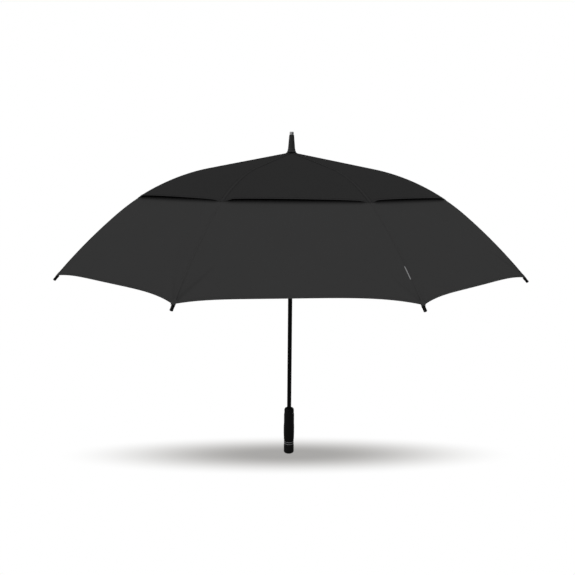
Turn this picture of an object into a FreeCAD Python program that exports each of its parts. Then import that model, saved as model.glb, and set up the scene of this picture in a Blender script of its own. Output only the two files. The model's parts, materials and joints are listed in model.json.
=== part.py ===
import FreeCAD, Part
import math
import os
import re
import Sketcher
from FreeCAD import Placement, Rotation, Vector

# A manual golf umbrella with eight ribs and a vented double canopy, in millimetres.
# The origin is the bottom centre of the handle and +Z runs up the shaft. Ribs stand at 22.5 degrees
# plus whole steps of 45, canopy panels between them. The rib line is the line of the fabric over a
# rib: straight from the axis, then two arcs, each tangent to the stretch before it. Each stretcher is
# as long as the rib from its crown pivot to its joint, so the runner slides on the shaft exactly.

SIZES = {
    # canopy and rib line
    "apex_height": 977.0,
    "straight_slope": 11.19,
    "straight_length": 263.5,
    "shoulder_radius": 593.8,
    "shoulder_length": 297.4,
    "skirt_radius": 1491.0,
    "rib_length": 794.4,
    "joint_station": 388.0,
    "vent_station": 488.3,
    "band_station": 396.0,
    "flap_station": 390.0,
    "band_end_station": 487.3,
    "fabric_thickness": 0.5,
    "flap_lift": 2.0,
    "hem_rise": 9.0,
    "seam_gap": 0.15,
    "eyelet_distance": 9.0,
    # ribs and stretchers
    "rib_depth": 3.6,
    "rib_rod_radius": 2.0,
    "stretcher_rod_radius": 1.8,
    "pivot_radius": 10.0,
    "joint_drop": 5.2,
    "joint_clearance": 2.4,
    "eye_length": 10.5,
    "eye_thickness": 1.6,
    "eye_end_radius": 2.2,
    "wire_radius": 0.7,
    "wire_hole_radius": 0.78,
    "pin_radius": 1.0,
    "pin_length": 3.8,
    "pin_hole_radius": 1.05,
    "clip_length": 16.0,
    "clip_setback": 3.5,
    "clip_radius": 2.7,
    "clip_bore": 2.1,
    "cheek_gap": 1.1,
    "cheek_thickness": 0.8,
    "cheek_length": 12.5,
    "cheek_top": 2.35,
    "cheek_overhang": 2.5,
    "tip_start": 0.4,
    "tip_length": 14.6,
    "tip_radius": 3.2,
    "tip_bore": 2.06,
    "tip_bore_depth": 8.0,
    # shaft, crown and runner
    "shaft_radius": 6.25,
    "shaft_bore": 5.05,
    "shaft_top": 1000.0,
    "hub_radius": 12.5,
    "hub_base": 963.0,
    "hub_shoulder": 972.8,
    "hub_top": 974.2,
    "slot_width": 2.4,
    "slot_start": 7.4,
    "slot_reach": 10.0,
    "runner_bore": 6.6,
    "runner_head_top": 6.0,
    "runner_head_base": 7.0,
    "runner_sleeve_radius": 9.0,
    "runner_foot_radius": 11.4,
    "runner_foot_height": 8.0,
    "runner_length": 52.0,
    # sprung catches
    "catch_thickness": 2.2,
    "catch_gap": 0.35,
    "catch_reach": 9.3,
    "catch_inner": 1.5,
    "catch_width": 3.5,
    "catch_pivot_distance": 30.6,
    "catch_pivot_radius": 2.5,
    "catch_length": 33.0,
    "catch_lip": 4.0,
    "catch_pin_radius": 0.8,
    "catch_pin_hole": 0.86,
    "catch_pin_length": 7.6,
    "catch_slot_width": 3.0,
    "catch_slot_margin": 2.0,
    "catch_azimuth": 90.0,
    "closed_runner_pivot": 221.9,
    # handle
    "grip_base": 29.0,
    "neck_radius": 14.2,
    "neck_top": 42.8,
    "grip_low_radius": 16.3,
    "grip_low": 45.5,
    "grip_palm_radius": 16.9,
    "grip_palm_base": 66.0,
    "grip_palm_top": 92.0,
    "grip_upper_radius": 16.3,
    "grip_upper_base": 104.0,
    "grip_upper_top": 132.5,
    "grip_throat_radius": 15.4,
    "grip_throat_base": 139.5,
    "grip_throat_top": 150.0,
    "grip_brow_radius": 14.0,
    "grip_brow": 153.5,
    "grip_lip_radius": 8.8,
    "grip_top": 156.5,
    "ring_radius": 16.0,
    "ring_height": 3.4,
    "ring_low": 31.0,
    "ring_high": 38.0,
    "cap_foot_radius": 14.0,
    "cap_bevel_radius": 15.9,
    "cap_bevel": 1.4,
    "cap_radius": 16.7,
    "cap_side_base": 4.5,
    "cap_side_top": 20.0,
    "cap_rim_radius": 16.0,
    "cap_plug_top": 60.0,
    # finial
    "rosette_radius": 16.5,
    "rosette_edge_base": 974.2,
    "rosette_edge_top": 975.6,
    "rosette_base": 976.2,
    "ferrule_base": 979.0,
    "ferrule_foot_radius": 12.4,
    "ferrule_waist": 985.0,
    "ferrule_waist_radius": 10.6,
    "ferrule_taper_base": 987.5,
    "ferrule_taper_radius": 10.0,
    "ferrule_top": 1029.0,
    "ferrule_top_radius": 6.6,
    "spigot_radius": 3.0,
    "spigot_base": 1016.0,
    "metal_radius": 5.5,
    "metal_bevel": 1.5,
    "metal_crown": 1037.0,
    "metal_top": 1038.7,
}

RIBS = 8
RIB_STEP = 360.0 / RIBS
HALF_STEP = RIB_STEP / 2
CURVE_SPANS = 6
INNER_MARGIN = 0.9
CLEAR_ABOVE = 1.2

doc = FreeCAD.newDocument("golf_umbrella")
sheet = doc.addObject("Spreadsheet::Sheet", "sizes")
for row, (alias, value) in enumerate(SIZES.items(), 1):
    sheet.set(f"A{row}", alias)
    sheet.set(f"B{row}", str(value))
    sheet.setAlias(f"B{row}", alias)
doc.recompute()

nodes = {}


def size(alias):
    return float(sheet.get(alias))


def cell(words):
    """The expression for a sum of cells, such as "grip_top+ring_height"."""
    return re.sub(r"[a-z_]+", r"sizes.\g<0>", words)


def turn(degrees):
    return Placement(Vector(), Rotation(Vector(0, 0, 1), degrees))


def node(label, parts, placement=Placement()):
    """A named sub-part: one or more separate solids that move together."""
    group = doc.addObject("Part::Compound", label)
    group.Label = label
    group.Links = parts
    group.Placement = placement
    nodes[label] = group
    return group


def node_at(label, parts, degrees, placement=Placement()):
    """A copy of the parts, turned about the shaft to one rib's or panel's place."""
    return node(label, parts, turn(degrees).multiply(placement))


def polygon_sketch(body, name, corners):
    """A closed outline of straight sides, each corner held to two cells of the sheet."""
    sketch = body.newObject("Sketcher::SketchObject", name)
    plane = next(p for p in body.Origin.OriginFeatures if p.Role == "XZ_Plane")
    sketch.AttachmentSupport = [(plane, "")]
    sketch.MapMode = "FlatFace"
    count = len(corners)
    ring = [Vector(40 + 20 * math.cos(math.tau * i / count), 20 * math.sin(math.tau * i / count), 0)
            for i in range(count)]
    for i in range(count):
        sketch.addGeometry(Part.LineSegment(ring[i], ring[(i + 1) % count]))
    for i in range(count):
        sketch.addConstraint(Sketcher.Constraint("Coincident", i, 2, (i + 1) % count, 1))
    for i, corner in enumerate(corners):
        for kind, axis, alias in zip(("DistanceX", "DistanceY"), (-2, -1), corner):
            if alias == "0":
                sketch.addConstraint(Sketcher.Constraint("PointOnObject", i, 1, axis))
                continue
            held = sketch.addConstraint(Sketcher.Constraint(kind, -1, 1, i, 1, 10.0))
            sketch.setExpression(f"Constraints[{held}]", cell(alias))
    return sketch


def turned(name, corners):
    """A piece turned about Z from an outline of (radius, height) cells."""
    body = doc.addObject("PartDesign::Body", name)
    sketch = polygon_sketch(body, f"{name}_outline", corners)
    revolution = body.newObject("PartDesign::Revolution", f"{name}_turning")
    revolution.Profile = sketch
    revolution.ReferenceAxis = (sketch, ["V_Axis"])
    revolution.Angle = 360
    body.Tip = revolution
    return body


def tube(name, inner, outer, base, top):
    return turned(name, [(inner, base), (outer, base), (outer, top), (inner, top)])


def cylinder(name, radius, length, placement=Placement()):
    rod = doc.addObject("Part::Cylinder", name)
    rod.setExpression("Radius", cell(radius))
    rod.setExpression("Height", cell(length))
    rod.Placement = placement
    return rod


def cross_pin(name, radius, length, centre):
    """A pin along Y, centred on a point of the radial plane."""
    start = centre - Vector(0, size(length) / 2, 0)
    return cylinder(name, radius, length, Placement(start, Rotation(Vector(1, 0, 0), -90)))


def box(name, length, width, height, corner):
    block = doc.addObject("Part::Box", name)
    block.setExpression("Length", cell(length))
    block.setExpression("Width", cell(width))
    block.setExpression("Height", cell(height))
    block.Placement = Placement(corner, Rotation())
    return block


def cut(name, base, tools):
    tool = tools[0]
    if len(tools) > 1:
        tool = doc.addObject("Part::MultiFuse", f"{name}_tools")
        tool.Shapes = tools
    result = doc.addObject("Part::Cut", name)
    result.Base = base
    result.Tool = tool
    return result


def fuse(name, parts):
    result = doc.addObject("Part::MultiFuse", name)
    result.Shapes = parts
    return result


def wire_ring(name, height):
    ring = doc.addObject("Part::Torus", name)
    ring.setExpression("Radius1", cell("pivot_radius"))
    ring.setExpression("Radius2", cell("wire_radius"))
    ring.Placement = Placement(Vector(0, 0, height), Rotation())
    return ring


# ---- The rib line ----

def station(along, depth=0.0):
    """The point of the rib line at a length along it, a depth below the fabric, and the slope there."""
    slope = math.radians(size("straight_slope"))
    straight = min(along, size("straight_length"))
    x = straight * math.cos(slope)
    z = size("apex_height") - straight * math.sin(slope)
    left = along - straight
    for radius, length in ((size("shoulder_radius"), size("shoulder_length")),
                           (size("skirt_radius"), size("rib_length"))):
        arc = min(left, length)
        after = slope + arc / radius
        x += radius * (math.sin(after) - math.sin(slope))
        z -= radius * (math.cos(slope) - math.cos(after))
        slope = after
        left -= arc
    return Vector(x - depth * math.sin(slope), 0, z - depth * math.cos(slope)), slope


def stretches(start, end):
    """The rib line's stretches between two stations, split where its curvature changes."""
    straight_end = size("straight_length")
    bends = [straight_end, straight_end + size("shoulder_length")]
    marks = [start] + [b for b in bends if start < b < end] + [end]
    return list(zip(marks, marks[1:]))


def rib_path(start, end, depth):
    edges = []
    for first, last in stretches(start, end):
        points = [station(s, depth)[0] for s in (first, (first + last) / 2, last)]
        if last <= size("straight_length"):
            edges.append(Part.LineSegment(points[0], points[2]).toShape())
        else:
            edges.append(Part.Arc(*points).toShape())
    return Part.Wire(edges)


def shaped(name, shape):
    feature = doc.addObject("Part::Feature", name)
    feature.Shape = shape
    return feature


def rib_rod(name, start, end, round_start=False):
    """A round fibreglass rod along the rib line, below the fabric."""
    radius = size("rib_rod_radius")
    depth = size("rib_depth")
    foot, slope = station(start, depth)
    section = Part.Wire(Part.makeCircle(radius, foot, Vector(math.cos(slope), 0, -math.sin(slope))))
    rod = rib_path(start, end, depth).makePipeShell([section], True, False)
    if round_start:
        rod = rod.fuse(Part.makeSphere(radius, foot))
    return shaped(name, rod)


def panel(name, start, end, lift, rise):
    """A strip of one canopy panel between two stations, straight from rib to rib."""
    squeeze = math.cos(math.radians(HALF_STEP))
    thickness = size("fabric_thickness")

    def curve(depth):
        edges = []
        for first, last in stretches(start, end):
            spots = [station(first + (last - first) * i / CURVE_SPANS, depth)[0]
                     for i in range(CURVE_SPANS + 1)]
            points = [Vector(p.x * squeeze, 0, p.z) for p in spots]
            spline = Part.BSplineCurve()
            spline.interpolate(points)
            edges.append(spline.toShape())
        return edges

    upper = curve(-lift)
    lower = curve(thickness - lift)
    ends = [Part.LineSegment(upper[i].Vertexes[i].Point, lower[i].Vertexes[i].Point).toShape()
            for i in (0, -1)]
    outline = Part.Wire(Part.__sortEdges__(upper + lower + ends))
    reach = size("rib_length")
    strip = Part.Face(outline).extrude(Vector(0, 2 * reach, 0))
    strip.translate(Vector(0, -reach, 0))
    return shaped(name, strip.common(panel_sector(start, end, rise)))


def panel_sector(start, end, rise):
    """The plan of one panel: two seams on the ribs and, where rise is not 0, a hem arched inward."""
    half = math.tan(math.radians(HALF_STEP))
    squeeze = math.cos(math.radians(HALF_STEP))
    gap = size("seam_gap") / squeeze
    near = INNER_MARGIN * station(start)[0].x * squeeze
    far = station(end)[0].x * squeeze + (0 if rise else size("eyelet_distance"))
    corners = [Vector(near, near * half - gap, 0), Vector(far, far * half - gap, 0)]
    mirrored = [Vector(p.x, -p.y, 0) for p in corners]
    if rise:
        hem = Part.Arc(corners[1], Vector(far - rise, 0, 0), mirrored[1]).toShape()
    else:
        hem = Part.LineSegment(corners[1], mirrored[1]).toShape()
    sides = [Part.LineSegment(corners[0], corners[1]).toShape(),
             Part.LineSegment(mirrored[1], mirrored[0]).toShape(),
             Part.LineSegment(mirrored[0], corners[0]).toShape()]
    plan = Part.Face(Part.Wire(Part.__sortEdges__(sides + [hem])))
    return plan.extrude(Vector(0, 0, CLEAR_ABOVE * size("apex_height")))


# ---- Where the linkage's pivots stand, at azimuth 0 ----

slope_start = math.radians(size("straight_slope"))
crown_station = (size("pivot_radius") + size("rib_depth") * math.sin(slope_start)) / math.cos(slope_start)
crown_pivot = station(crown_station, size("rib_depth"))[0]
flex_pivot, joint_slope = station(size("joint_station"), size("rib_depth"))
joint_pivot = station(size("joint_station"), size("rib_depth") + size("joint_drop"))[0]
link = joint_pivot - crown_pivot
runner_pivot = Vector(crown_pivot.x, 0, crown_pivot.z + 2 * link.z)
stretcher_slope = math.degrees(math.atan2(-link.z, link.x))

# ---- Handle ----

end_cap = turned("end_cap_body", [
    ("0", "0"), ("cap_foot_radius", "0"), ("cap_bevel_radius", "cap_bevel"),
    ("cap_radius", "cap_side_base"), ("cap_radius", "cap_side_top"),
    ("cap_rim_radius", "grip_base"), ("shaft_bore", "grip_base"),
    ("shaft_bore", "cap_plug_top"), ("0", "cap_plug_top")])
node("end_cap", [end_cap])

grip = turned("grip_body", [
    ("shaft_radius", "grip_base"), ("neck_radius", "grip_base"), ("neck_radius", "neck_top"),
    ("grip_low_radius", "grip_low"), ("grip_palm_radius", "grip_palm_base"),
    ("grip_palm_radius", "grip_palm_top"), ("grip_upper_radius", "grip_upper_base"),
    ("grip_upper_radius", "grip_upper_top"), ("grip_throat_radius", "grip_throat_base"),
    ("grip_throat_radius", "grip_throat_top"), ("grip_brow_radius", "grip_brow"),
    ("grip_lip_radius", "grip_top"), ("shaft_radius", "grip_top")])
node("grip", [grip])

node("trim_rings", [
    tube(f"trim_ring_{name}", "neck_radius", "ring_radius", f"ring_{name}", f"ring_{name}+ring_height")
    for name in ("low", "high")])

# ---- Finial ----

node("rosette", [turned("rosette_body", [
    ("shaft_radius", "rosette_base"), ("rosette_radius", "rosette_edge_base"),
    ("rosette_radius", "rosette_edge_top"), ("ferrule_foot_radius", "ferrule_base"),
    ("shaft_radius", "ferrule_base")])])

node("ferrule", [turned("ferrule_body", [
    ("shaft_radius", "ferrule_base"), ("ferrule_foot_radius", "ferrule_base"),
    ("ferrule_waist_radius", "ferrule_waist"), ("ferrule_taper_radius", "ferrule_taper_base"),
    ("ferrule_top_radius", "ferrule_top"), ("spigot_radius", "ferrule_top"),
    ("spigot_radius", "spigot_base"), ("0", "spigot_base"), ("0", "shaft_top"),
    ("shaft_radius", "shaft_top")])])

node("ferrule_cap", [turned("ferrule_cap_body", [
    ("0", "spigot_base"), ("spigot_radius", "spigot_base"), ("spigot_radius", "ferrule_top"),
    ("metal_radius", "ferrule_top"), ("metal_radius", "metal_crown"),
    ("metal_radius-metal_bevel", "metal_top"), ("0", "metal_top")])])

# ---- Crown and runner: slotted rings that hold the eyes on a wire ----


def slots(name, base, height):
    """Eight radial slots through a ring's rim, one for each rib."""
    found = []
    for k in range(RIBS):
        slot = box(f"{name}_slot_{k + 1}", "slot_reach", "slot_width", height, Vector())
        corner = Placement(Vector(size("slot_start"), -size("slot_width") / 2, base), Rotation())
        slot.Placement = turn(HALF_STEP + k * RIB_STEP).multiply(corner)
        found.append(slot)
    return found


crown_ring = turned("crown_ring", [
    ("shaft_radius", "hub_base"), ("hub_radius", "hub_base"), ("hub_radius", "hub_shoulder"),
    ("slot_start", "hub_top"), ("shaft_radius", "hub_top")])
crown_wire = wire_ring("crown_wire", crown_pivot.z)
crown_slots = slots("crown", size("hub_base") - size("pin_radius"), "slot_reach+slot_width+pin_radius")
crown_body = cut("crown_body", crown_ring, crown_slots + [crown_wire])
node("crown", [crown_body, crown_wire])

# The runner is drawn about its own pivot height and then lifted to it.
runner_ring = turned("runner_ring", [
    ("runner_bore", "-runner_length"), ("runner_foot_radius", "-runner_length"),
    ("runner_foot_radius", "-runner_length+runner_foot_height"),
    ("runner_sleeve_radius", "-runner_length+runner_foot_height+catch_lip"),
    ("runner_sleeve_radius", "-runner_head_base-catch_lip"), ("hub_radius", "-runner_head_base"),
    ("hub_radius", "runner_head_top"), ("runner_bore", "runner_head_top")])
runner_wire = wire_ring("runner_wire", 0)
runner_slots = slots("runner", -size("runner_head_base"), "runner_head_base+runner_head_top+pin_radius")
runner_body = cut("runner_body", runner_ring, runner_slots + [runner_wire])
node("runner", [runner_body, runner_wire], Placement(Vector(0, 0, runner_pivot.z), Rotation()))

# ---- Sprung catches: the upper one stands under the open runner, the lower one over the closed runner ----

catch_outline = doc.addObject("PartDesign::Body", "catch_leaf")
catch_sketch = polygon_sketch(catch_outline, "catch_leaf_outline", [
    ("catch_inner", "-catch_length"), ("catch_width", "-catch_length"),
    ("catch_reach", "-catch_lip"), ("catch_reach", "0"), ("catch_inner", "0")])
catch_pad = catch_outline.newObject("PartDesign::Pad", "catch_leaf_pad")
catch_pad.Profile = catch_sketch
catch_pad.setExpression("Length", cell("catch_thickness"))
catch_pad.Midplane = True
catch_outline.Tip = catch_pad
catch_pivot = Vector(size("catch_pivot_radius"), 0, -size("catch_pivot_distance"))
catch_hole = cross_pin("catch_hole", "catch_pin_hole", "shaft_radius", catch_pivot)
catch = cut("catch_body", catch_outline, [catch_hole])
catch_pin = cross_pin("catch_pin", "catch_pin_radius", "catch_pin_length", catch_pivot)
upper_shoulder = runner_pivot.z - size("runner_length") - size("catch_gap")
lower_shoulder = size("closed_runner_pivot") + size("runner_head_top") + size("catch_gap")
catch_side = turn(size("catch_azimuth"))
catch_places = {
    "top_catch": catch_side.multiply(Placement(Vector(0, 0, upper_shoulder), Rotation())),
    "bottom_catch": catch_side.multiply(
        Placement(Vector(0, 0, lower_shoulder), Rotation(Vector(1, 0, 0), 180))),
}
for label, place in catch_places.items():
    node(label, [catch], place)

pins = []
for label, place in catch_places.items():
    pin = doc.addObject("Part::Compound", f"{label}_pin")
    pin.Links = [catch_pin]
    pin.Placement = place
    pins.append(pin)
node("catch_pins", pins)

# ---- Shaft ----

shaft_slots = []
for label, place in catch_places.items():
    slot = box(f"{label}_slot", "hub_radius", "catch_slot_width",
               "catch_length+catch_slot_margin+catch_slot_margin", Vector())
    corner = Vector(0, -size("catch_slot_width") / 2, -size("catch_length") - size("catch_slot_margin"))
    slot.Placement = place.multiply(Placement(corner, Rotation()))
    shaft_slots.append(slot)
shaft_tube = tube("shaft_wall", "shaft_bore", "shaft_radius", "grip_base", "shaft_top")
node("shaft_tube", [cut("shaft_body", shaft_tube, shaft_slots)])

# ---- Ribs and stretchers, drawn at azimuth 0 and turned to their places ----


def eye(name, hole_radius, placement):
    """A flat eye on a rod's end: its hole at the origin, its blade along +X to the rod."""
    blade = box(f"{name}_blade", "eye_length", "eye_thickness", "eye_end_radius+eye_end_radius",
                Vector(0, -size("eye_thickness") / 2, -size("eye_end_radius")))
    disc = cross_pin(f"{name}_disc", "eye_end_radius", "eye_thickness", Vector())
    hole = cross_pin(f"{name}_hole", hole_radius, "hub_radius", Vector())
    ring = cut(name, fuse(f"{name}_blank", [blade, disc]), [hole])
    ring.Placement = placement
    return ring


def tilt(point, slope):
    """A frame at a point whose +X slopes down by the angle, in degrees."""
    return Placement(point, Rotation(Vector(0, 1, 0), slope))


inner_rod = rib_rod("inner_rod", crown_station + size("eye_length"),
                    size("joint_station") - size("joint_clearance"))
crown_eye = eye("crown_eye", "wire_hole_radius", tilt(crown_pivot, size("straight_slope")))

clip_sleeve = tube("clip_sleeve", "clip_bore", "clip_radius", "clip_setback", "clip_setback+clip_length")
clip_sleeve.Placement = Placement(Vector(), Rotation(Vector(0, 1, 0), -90))
cheeks = [box(f"clip_cheek_{side}", "cheek_length", "cheek_thickness", "joint_drop", Vector(
    size("cheek_overhang") - size("cheek_length"), offset, -size("cheek_top") - size("joint_drop")))
    for side, offset in (("left", size("cheek_gap")),
                         ("right", -size("cheek_gap") - size("cheek_thickness")))]
clip_blank = fuse("clip_blank", [clip_sleeve] + cheeks)
pin_centre = Vector(0, 0, -size("joint_drop"))
clip_hole = cross_pin("clip_hole", "pin_radius", "hub_radius", pin_centre)
clip = cut("joint_clip", clip_blank, [clip_hole])
clip.Placement = tilt(flex_pivot, math.degrees(joint_slope))
joint_pin = cross_pin("joint_pin", "pin_radius", "pin_length", joint_pivot)

outer_rod = rib_rod("outer_rod", size("joint_station"), size("rib_length") + size("tip_bore_depth"),
                    round_start=True)

tip_body = turned("tip_body", [
    ("tip_bore", "tip_start"), ("tip_radius", "tip_start"),
    ("tip_radius", "tip_length-tip_radius+tip_bore"), ("tip_bore", "tip_length"),
    ("0", "tip_length"), ("0", "tip_bore_depth"), ("tip_bore", "tip_bore_depth")])
tip_point, tip_slope = station(size("rib_length"), size("rib_depth"))
tip_place = tilt(tip_point, math.degrees(tip_slope) + 90)

stretcher_rod = cylinder("stretcher_rod", "stretcher_rod_radius", "eye_length",
                         Placement(Vector(size("eye_length"), 0, 0), Rotation(Vector(0, 1, 0), 90)))
stretcher_rod.setExpression("Height", f"{link.Length} - 2 * sizes.eye_length")
runner_eye = eye("runner_eye", "wire_hole_radius", Placement())
joint_eye = eye("joint_eye", "pin_hole_radius",
                Placement(Vector(link.Length, 0, 0), Rotation(Vector(0, 0, 1), 180)))
stretcher_place = tilt(runner_pivot, -stretcher_slope)

# ---- Canopy panels: the vented top with the band hidden under its edge, and the skirt ----

eyelet = size("eyelet_distance") / math.cos(math.radians(HALF_STEP)) / math.cos(slope_start)
top_flat = panel("top_panel_inner", eyelet, size("flap_station"), 0, 0)
top_flap = panel("top_panel_flap", size("flap_station"), size("vent_station"), size("flap_lift"), 0)
vent_band = panel("vent_band", size("band_station"), size("band_end_station"), 0, 0)
skirt = panel("skirt_panel", size("vent_station"), size("rib_length"), 0, size("hem_rise"))

for k in range(RIBS):
    azimuth = HALF_STEP + k * RIB_STEP
    node_at(f"rib_inner_{k + 1}", [inner_rod, crown_eye, clip, joint_pin], azimuth)
    node_at(f"rib_outer_{k + 1}", [outer_rod], azimuth)
    node_at(f"rib_tip_{k + 1}", [tip_body], azimuth, tip_place)
    node_at(f"stretcher_{k + 1}", [stretcher_rod, runner_eye, joint_eye], azimuth, stretcher_place)
    node_at(f"canopy_top_{k + 1}", [top_flat, top_flap, vent_band], k * RIB_STEP)
    node_at(f"canopy_skirt_{k + 1}", [skirt], k * RIB_STEP)

doc.recompute()
for item in doc.Objects:
    if "Invalid" in item.State or "Error" in item.State:
        raise RuntimeError(f"{item.Label} failed: {item.State}")
for label, group in nodes.items():
    if group.Shape.isNull() or not group.Shape.isValid() or not group.Shape.Solids:
        raise RuntimeError(f"{label} has no valid shape")

os.makedirs("parts", exist_ok=True)
for label, group in nodes.items():
    group.Shape.exportStep(f"parts/{label}.step")
print(f"{len(nodes)} nodes exported")
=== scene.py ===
import json
import math
import bmesh
import bpy
from mathutils import Matrix, Vector


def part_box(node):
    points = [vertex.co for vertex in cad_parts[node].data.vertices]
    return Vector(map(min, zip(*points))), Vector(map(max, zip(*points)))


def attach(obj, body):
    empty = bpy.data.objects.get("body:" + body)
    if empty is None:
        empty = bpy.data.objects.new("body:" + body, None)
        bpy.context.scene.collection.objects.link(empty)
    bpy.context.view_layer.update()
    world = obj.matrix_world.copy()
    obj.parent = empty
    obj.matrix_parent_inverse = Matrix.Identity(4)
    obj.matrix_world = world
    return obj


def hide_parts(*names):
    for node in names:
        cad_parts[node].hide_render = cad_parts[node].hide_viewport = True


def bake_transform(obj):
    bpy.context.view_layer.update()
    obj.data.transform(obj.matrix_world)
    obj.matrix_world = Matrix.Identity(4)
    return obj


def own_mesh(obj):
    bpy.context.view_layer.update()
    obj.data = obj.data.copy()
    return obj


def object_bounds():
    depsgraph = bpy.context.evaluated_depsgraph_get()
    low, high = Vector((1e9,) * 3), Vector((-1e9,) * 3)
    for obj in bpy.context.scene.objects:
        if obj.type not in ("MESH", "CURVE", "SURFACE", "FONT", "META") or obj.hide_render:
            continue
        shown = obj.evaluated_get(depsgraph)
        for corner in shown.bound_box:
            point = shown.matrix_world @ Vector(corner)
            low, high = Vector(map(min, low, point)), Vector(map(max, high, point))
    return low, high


# An open golf umbrella with a vented double canopy, in metres, in the CAD model's frame.
# Ribs stand at 22.5 degrees plus whole steps of 45 and canopy panels between them. The rib line is the
# fabric's line over a rib: straight from the axis, then two arcs, each tangent to the stretch before.

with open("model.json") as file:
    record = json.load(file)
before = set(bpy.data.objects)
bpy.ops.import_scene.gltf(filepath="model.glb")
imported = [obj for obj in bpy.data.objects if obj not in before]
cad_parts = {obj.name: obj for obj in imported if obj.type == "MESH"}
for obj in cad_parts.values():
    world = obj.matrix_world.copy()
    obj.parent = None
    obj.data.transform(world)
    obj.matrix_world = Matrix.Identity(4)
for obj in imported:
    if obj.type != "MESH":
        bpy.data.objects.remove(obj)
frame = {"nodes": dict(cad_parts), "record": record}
cad_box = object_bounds()

PANELS = 8
STEP = math.tau / PANELS
HALF = STEP / 2

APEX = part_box("rosette")[1][2] - 0.002
STRAIGHT_SLOPE = math.radians(11.19)
STRAIGHT_LENGTH = 0.2635
SHOULDER_RADIUS = 0.5938
SHOULDER_LENGTH = 0.2974
SKIRT_RADIUS = 1.491
RIB_LENGTH = 0.7944
JOINT_STATION = 0.388
VENT_STATION = 0.4883
BAND_STATION = 0.396
RIB_DEPTH = 0.0036
ROD_RADIUS = 0.002

# How the fabric leaves the straight chord from rib to rib, at mid panel
TOP_SAG = 0.0022
TOP_CLOTH_LIFT = 0.0006
SKIRT_SAG = 0.004
VENT_DIP = 0.0008
BAND_DEPTH = 0.0006

# The vent's flaps bow up from a station on, and close towards the seams in a share of the width.
# Each flap's bow leans to one side, by an amount that changes from panel to panel.
FLAP_BOW = 0.0056
FLAP_CUT = 0.004
FLAP_CUT_SHARPNESS = 4
FLAP_START = 0.30
FLAP_CLOSING = 0.14
FLAP_NARROWING = 0.15
SEWN_SHARE = 0.03
FLAP_SKEW = 0.5
FLAP_SKEW_TURN = 0.8
FLAP_SKEW_PANEL = 6

# The hem's arch, and its lean on the front panel and on the panels beside it
FRONT_PANEL = 7
HEM_RISE = 0.0147
HEM_SHARPNESS = 4.4
HEM_LIFT = 0.0010
HEM_LEAN = 0.0017
HEM_SIDE_LEAN = 0.0007
HEM_SIDE_DROP = 0.0045
HEM_RIGHT_DROP = 0.0016

# Creases fan out from the skirt's lower corners: their shares of depth, and how they turn from
# panel to panel and from the left corner to the right one
CREASE_HEIGHT = 0.0012
CREASE_ANGLE = 0.49
CREASE_LENGTH = 0.10
CREASE_WIDTH = 0.0042
# Painted shade along the creases: how much darker their lines are drawn in the skirt's colour
CREASE_PAINTED_SHADE = 0.13
CREASE_SHARES = (1.0, 0.3, 0.45)
CREASE_FAN = 0.42
CREASE_PANEL_TURN = 2.5
CREASE_CORNER_TURN = 1.9
# The least a corner is pulled, as a share of full length and depth, and how each next crease differs
CREASE_LEAST_LENGTH = 0.6
CREASE_LEAST_DEPTH = 0.25
CREASE_WOBBLE = 0.05
CREASE_SHORTER = 0.15
CREASE_WIDER = 0.3

# The skirt starts a little above the vent's line, under the flap, whose shadow falls on it
SKIRT_STATION = VENT_STATION - 0.008
SHADOW_LENGTH = 0.0200
SHADOW_DEPTH = 0.69

joints = {joint["name"]: joint for joint in frame["record"]["behaviour"]["joints"]}


def rib_azimuth(k):
    return HALF + (k - 1) * STEP


def panel_azimuth(k):
    return (k - 1) * STEP


# ---- The rib line and the fabric over it ----

def station(along, depth=0.0):
    """Radius and height at a length along the rib line, a depth below the fabric, and the slope."""
    slope = STRAIGHT_SLOPE
    straight = min(along, STRAIGHT_LENGTH)
    r = straight * math.cos(slope)
    z = APEX - straight * math.sin(slope)
    left = along - straight
    for radius, length in ((SHOULDER_RADIUS, SHOULDER_LENGTH), (SKIRT_RADIUS, RIB_LENGTH)):
        arc = min(left, length)
        after = slope + arc / radius
        r += radius * (math.sin(after) - math.sin(slope))
        z -= radius * (math.cos(slope) - math.cos(after))
        slope = after
        left -= arc
    return r - depth * math.sin(slope), z - depth * math.cos(slope), slope


def around(azimuth, radial, tangential, height):
    """A vector from its parts away from the axis at an azimuth, square to that, and up."""
    c, s = math.cos(azimuth), math.sin(azimuth)
    return Vector((radial * c - tangential * s, radial * s + tangential * c, height))


def panel_point(azimuth, along, across, lift):
    """A point of a panel: across runs from -1 to 1, rib to rib, and lift is out of its surface."""
    r, z, slope = station(along)
    tilt = math.atan(math.tan(slope) / math.cos(HALF))
    radial = r * math.cos(HALF) + lift * math.sin(tilt)
    return around(azimuth, radial, across * r * math.sin(HALF), z + lift * math.cos(tilt))


def half_width(along):
    """Half of a panel's width, from its middle to a rib, at a length along the rib line."""
    return station(along)[0] * math.sin(HALF)


def over_rib(azimuth, along, sideways, lift):
    """A point of the fabric beside a rib, where two panels meet in a shallow ridge."""
    r, z, slope = station(along)
    fall = abs(sideways) * math.tan(HALF)
    return around(azimuth, r + lift * math.sin(slope) - fall * math.sin(slope) ** 2, sideways,
                  z + lift * math.cos(slope) - fall * math.sin(slope) * math.cos(slope))


# ---- Mesh helpers ----

def new_object(name, mesh, material, smooth=True):
    mesh.polygons.foreach_set("use_smooth", [smooth] * len(mesh.polygons))
    piece = bpy.data.objects.new(name, mesh)
    bpy.context.collection.objects.link(piece)
    piece.data.materials.append(material)
    return piece


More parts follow.
